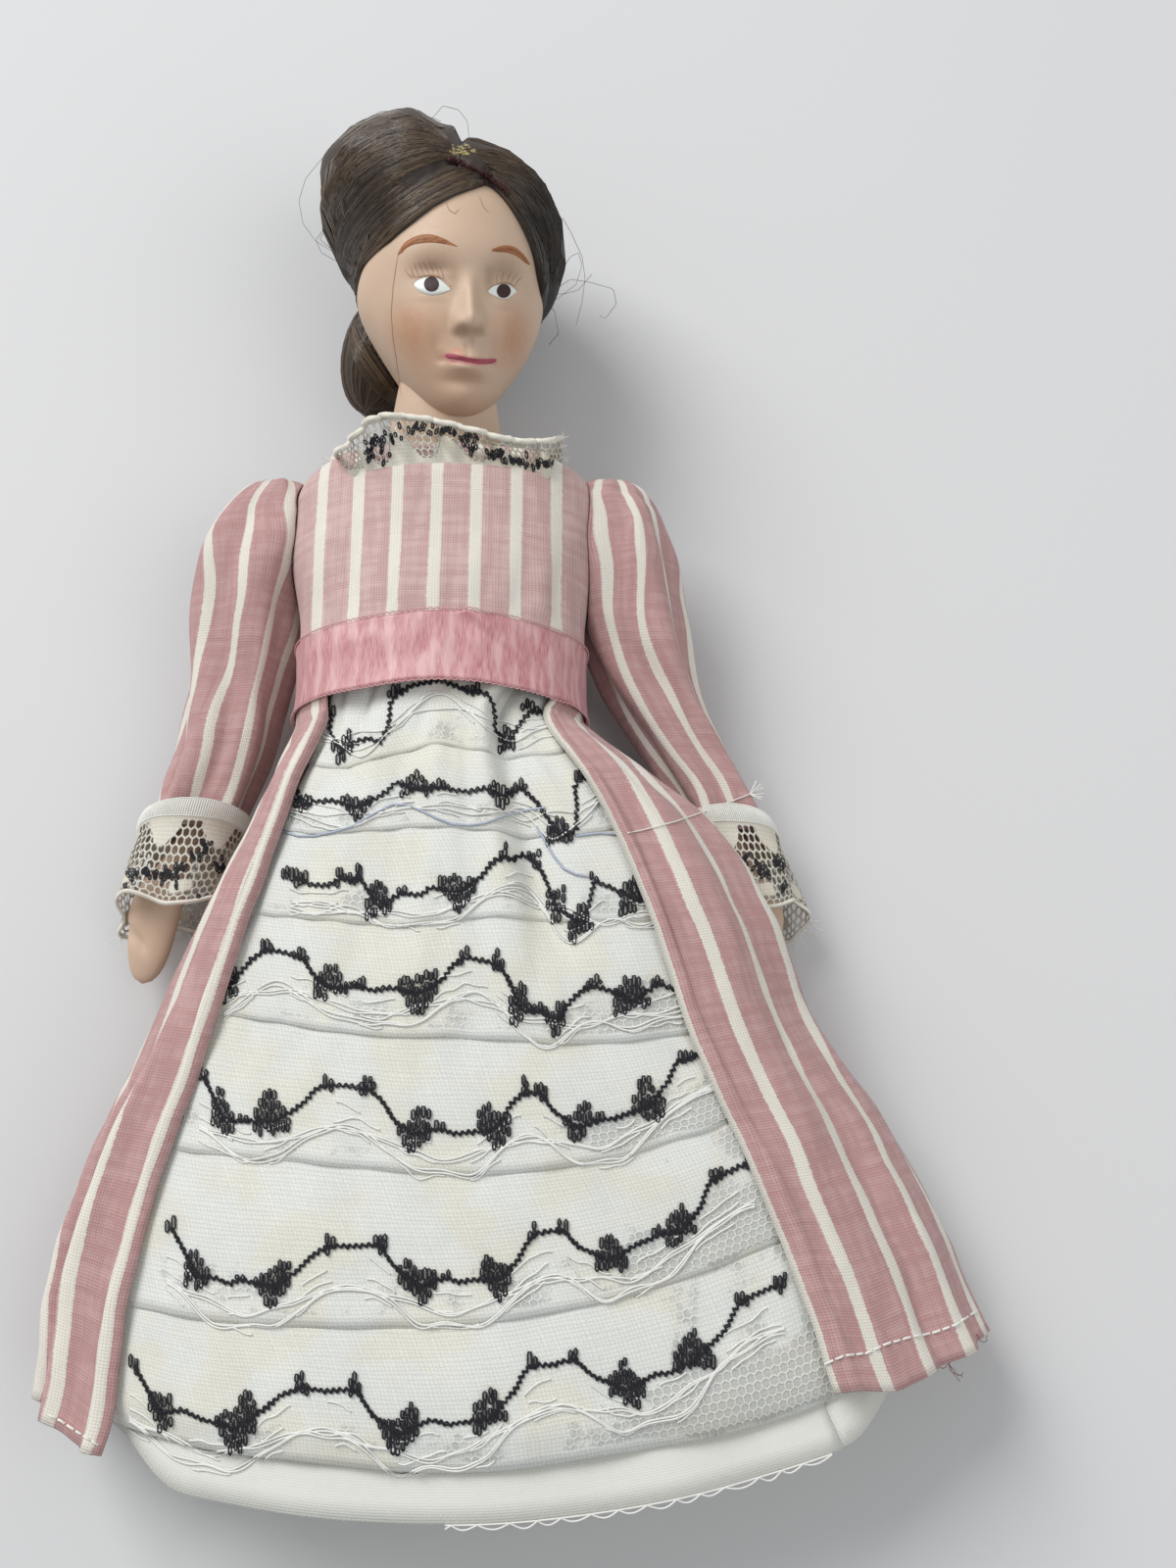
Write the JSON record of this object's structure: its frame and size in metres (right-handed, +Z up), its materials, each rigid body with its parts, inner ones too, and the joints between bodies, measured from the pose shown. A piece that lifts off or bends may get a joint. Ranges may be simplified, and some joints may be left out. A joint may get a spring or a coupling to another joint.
{
  "type": "porcelain doll",
  "caption": "Porcelain doll lying on its back: bisque head, hands and legs, cloth body, dark upswept wig, striped cotton dress with a lace front, lace cuffs and collar, satin sash.",
  "frame": {"origin": "centre of the bounding box, on the surface that the doll lies on", "axes": "+Y from the hem to the crown of the head, +X to the doll's left hand, +Z up away from the surface it lies on"},
  "size_m": [0.127, 0.2002, 0.0403],
  "materials": {
    "bisque": "matte",
    "hair_fibre": "satin",
    "body_cloth": "matte",
    "striped_cotton": "matte",
    "white_cotton": "matte",
    "lace": "matte",
    "satin_ribbon": "satin"
  },
  "bodies": {
    "root": {"head_shoulder_plate": "bisque", "wig": "hair_fibre", "torso": "body_cloth", "underskirt": "white_cotton", "front_panel": "white_cotton", "overskirt": "striped_cotton", "lace_tier_1": "lace", "lace_tier_2": "lace", "lace_tier_3": "lace", "lace_tier_4": "lace", "lace_tier_5": "lace", "lace_tier_6": "lace", "lace_tier_7": "lace", "bodice": "striped_cotton", "sash_ribbon": "satin_ribbon", "collar_lace": "lace", "sleeve_left": "striped_cotton", "cuff_lace_left": "lace", "upper_arm_left": "body_cloth", "forearm_left": "bisque", "upper_leg_left": "body_cloth", "lower_leg_left": "bisque", "sleeve_right": "striped_cotton", "cuff_lace_right": "lace", "upper_arm_right": "body_cloth", "forearm_right": "bisque", "upper_leg_right": "body_cloth", "lower_leg_right": "bisque"}
  },
  "joints": []
}
